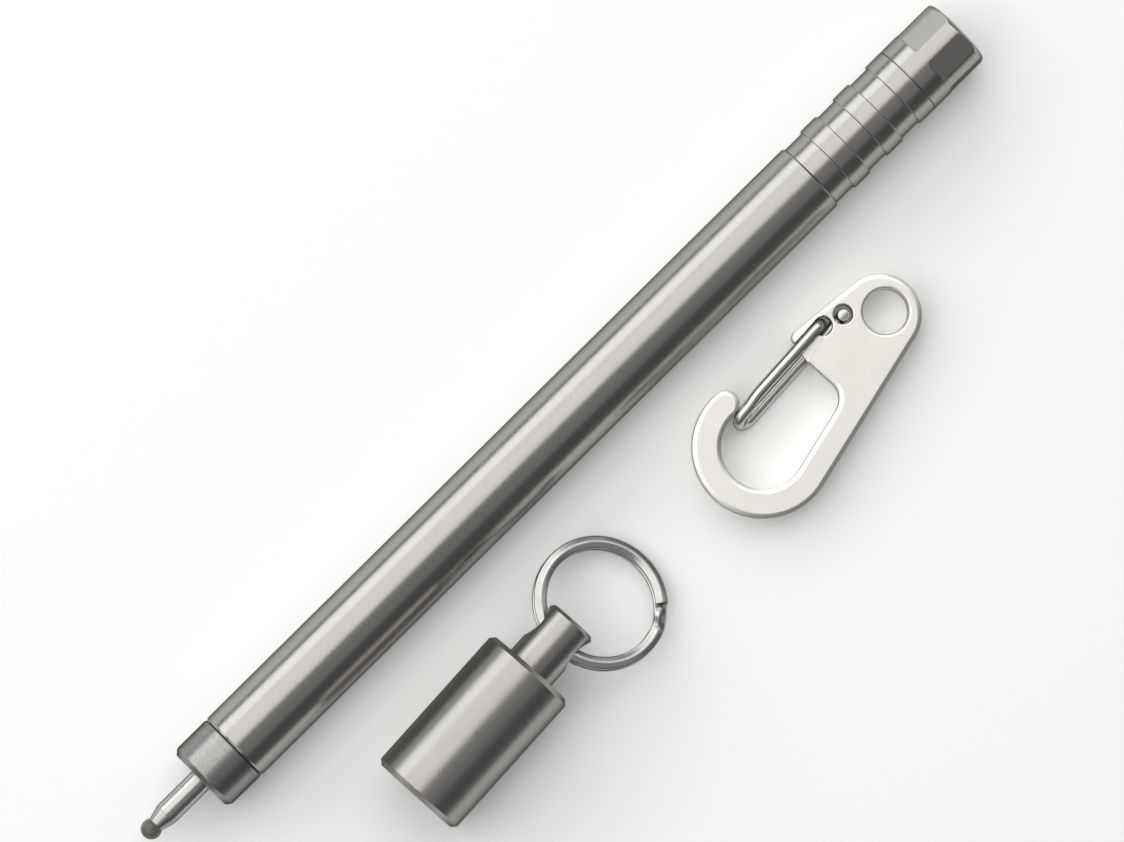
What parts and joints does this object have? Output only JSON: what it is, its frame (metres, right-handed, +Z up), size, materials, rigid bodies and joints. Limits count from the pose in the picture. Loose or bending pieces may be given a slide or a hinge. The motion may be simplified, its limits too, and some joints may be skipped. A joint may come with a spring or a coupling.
{
  "type": "telescopic pen",
  "caption": "Slim turned metal pen with a pull-out tail, beside its push-on cap with split ring and a small wire-gate snap hook.",
  "frame": {"origin": "on the table under the middle of the whole set (bounding box, lowest point)", "axes": "+X along the pen from its point to its tail, +Z up from the table, +Y across, from the cap and hook towards the pen"},
  "size_m": [0.1076, 0.0254, 0.0096],
  "materials": {
    "turned_titanium": "fine turned titanium, bright with a faint circumferential grain",
    "satin_titanium": "satin turned titanium",
    "polished_steel": "polished stainless steel",
    "tip_nickel": "bright turned nickel silver",
    "bead_wax": "matte protective bead",
    "sleeve_aluminium": "drawn",
    "brake_plastic": "natural acetal",
    "bush_brass": "turned",
    "black_rubber": "moulded, matte",
    "hook_nickel": "die-cast, tumbled, satin nickel plate"
  },
  "bodies": {
    "pen": {"barrel": "turned_titanium", "slide_bush": "bush_brass", "wiper_ring": "black_rubber"},
    "brake": {"brake_ring": "brake_plastic"},
    "tail": {"inner_tube": "turned_titanium", "rib_grip": "turned_titanium", "end_cap": "turned_titanium"},
    "refill": {"refill_tube": "polished_steel", "refill_tip": "tip_nickel", "writing_ball": "polished_steel", "tip_bead": "bead_wax"},
    "nose": {"nose_collar": "turned_titanium", "collar_o_ring": "black_rubber", "refill_sleeve": "sleeve_aluminium", "sleeve_plug": "sleeve_aluminium"},
    "cap": {"cap_shell": "satin_titanium", "cap_o_ring": "black_rubber"},
    "ring": {"split_ring": "polished_steel"},
    "hook": {"hook_plate": "hook_nickel"},
    "gate": {"gate_wire": "polished_steel"}
  },
  "joints": [
    {"name": "tail_slide", "type": "slide", "parent": "pen", "child": "brake", "axis": [1, 0, 0], "range_m": [0, 0.04]},
    {"name": "tail_turn", "type": "hinge", "parent": "brake", "child": "tail", "pos_m": [0.03429, 0.00899, 0.0037], "axis": [1, 0, 0], "continuous": true},
    {"name": "nose_draw", "type": "slide", "parent": "pen", "child": "refill", "axis": [-1, 0, 0], "range_m": [0, 0.0035]},
    {"name": "nose_unscrew", "type": "hinge", "parent": "refill", "child": "nose", "pos_m": [-0.0419, 0.00899, 0.0037], "axis": [1, 0, 0], "range_deg": [0, 2520]},
    {"name": "cap_lift", "type": "slide", "parent": "pen", "child": "cap", "axis": [0, 0, 1], "range_m": [0, 0.05]},
    {"name": "ring_swing", "type": "hinge", "parent": "cap", "child": "ring", "pos_m": [-0.01325, -0.00511, 0.0048], "axis": [-0.0898, -0.996, 0], "range_deg": [0, 135]},
    {"name": "hook_lift", "type": "slide", "parent": "pen", "child": "hook", "axis": [0, 0, 1], "range_m": [0, 0.05]},
    {"name": "gate_open", "type": "hinge", "parent": "hook", "child": "gate", "pos_m": [0.02637, -0.002, 0.0015], "axis": [0, 0, 1], "range_deg": [0, 12], "stiffness_Nm_per_rad": 0.09, "springref_deg": -2.86}
  ],
  "couplings": [
    {"joint": "nose_unscrew", "follows": "nose_draw", "rad_per_m": 12566}
  ]
}
